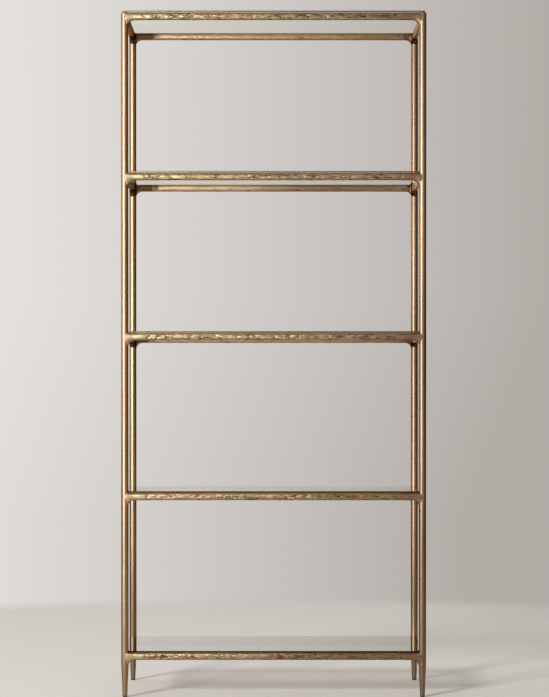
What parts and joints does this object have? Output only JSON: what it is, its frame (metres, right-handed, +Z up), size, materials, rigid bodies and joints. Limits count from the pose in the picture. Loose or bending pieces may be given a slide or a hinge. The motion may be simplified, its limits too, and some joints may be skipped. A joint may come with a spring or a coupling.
{
  "type": "etagere",
  "caption": "Tall open etagere: slender round legs with tapered feet, hammered brass rails that curve into the legs at knees, and loose clear glass shelves resting on soft pads.",
  "frame": {"origin": "on the floor, in the middle of the footprint", "axes": "+Z up, +X to the right as seen from the front, -Y towards the front"},
  "size_m": [0.914, 0.406, 2.0545],
  "materials": {
    "antiqued_brass": "hand-forged and antiqued, satin",
    "clear_glass": "clear, ground and polished edges",
    "clear_silicone": "clear, soft",
    "dark_nylon": "smooth"
  },
  "bodies": {
    "frame": {"leg_front_left": "antiqued_brass", "foot_glide_front_left": "dark_nylon", "leg_front_right": "antiqued_brass", "foot_glide_front_right": "dark_nylon", "leg_rear_left": "antiqued_brass", "foot_glide_rear_left": "dark_nylon", "leg_rear_right": "antiqued_brass", "foot_glide_rear_right": "dark_nylon", "rail_front_bottom": "antiqued_brass", "rail_right_bottom": "antiqued_brass", "rail_rear_bottom": "antiqued_brass", "rail_left_bottom": "antiqued_brass", "shelf_pads_bottom": "clear_silicone", "rail_front_lower": "antiqued_brass", "rail_right_lower": "antiqued_brass", "rail_rear_lower": "antiqued_brass", "rail_left_lower": "antiqued_brass", "shelf_pads_lower": "clear_silicone", "rail_front_middle": "antiqued_brass", "rail_right_middle": "antiqued_brass", "rail_rear_middle": "antiqued_brass", "rail_left_middle": "antiqued_brass", "shelf_pads_middle": "clear_silicone", "rail_front_upper": "antiqued_brass", "rail_right_upper": "antiqued_brass", "rail_rear_upper": "antiqued_brass", "rail_left_upper": "antiqued_brass", "shelf_pads_upper": "clear_silicone", "rail_front_top": "antiqued_brass", "rail_right_top": "antiqued_brass", "rail_rear_top": "antiqued_brass", "rail_left_top": "antiqued_brass", "shelf_pads_top": "clear_silicone"},
    "bottom_shelf": {"glass_shelf_bottom": "clear_glass"},
    "lower_shelf": {"glass_shelf_lower": "clear_glass"},
    "middle_shelf": {"glass_shelf_middle": "clear_glass"},
    "upper_shelf": {"glass_shelf_upper": "clear_glass"},
    "top_shelf": {"glass_shelf_top": "clear_glass"}
  },
  "joints": [
    {"name": "bottom_shelf_lift", "type": "slide", "parent": "frame", "child": "bottom_shelf", "axis": [0, 0, 1], "range_m": [0, 0.43]},
    {"name": "lower_shelf_lift", "type": "slide", "parent": "frame", "child": "lower_shelf", "axis": [0, 0, 1], "range_m": [0, 0.43]},
    {"name": "middle_shelf_lift", "type": "slide", "parent": "frame", "child": "middle_shelf", "axis": [0, 0, 1], "range_m": [0, 0.43]},
    {"name": "upper_shelf_lift", "type": "slide", "parent": "frame", "child": "upper_shelf", "axis": [0, 0, 1], "range_m": [0, 0.43]},
    {"name": "top_shelf_lift", "type": "slide", "parent": "frame", "child": "top_shelf", "axis": [0, 0, 1], "range_m": [0, 0.43]}
  ]
}
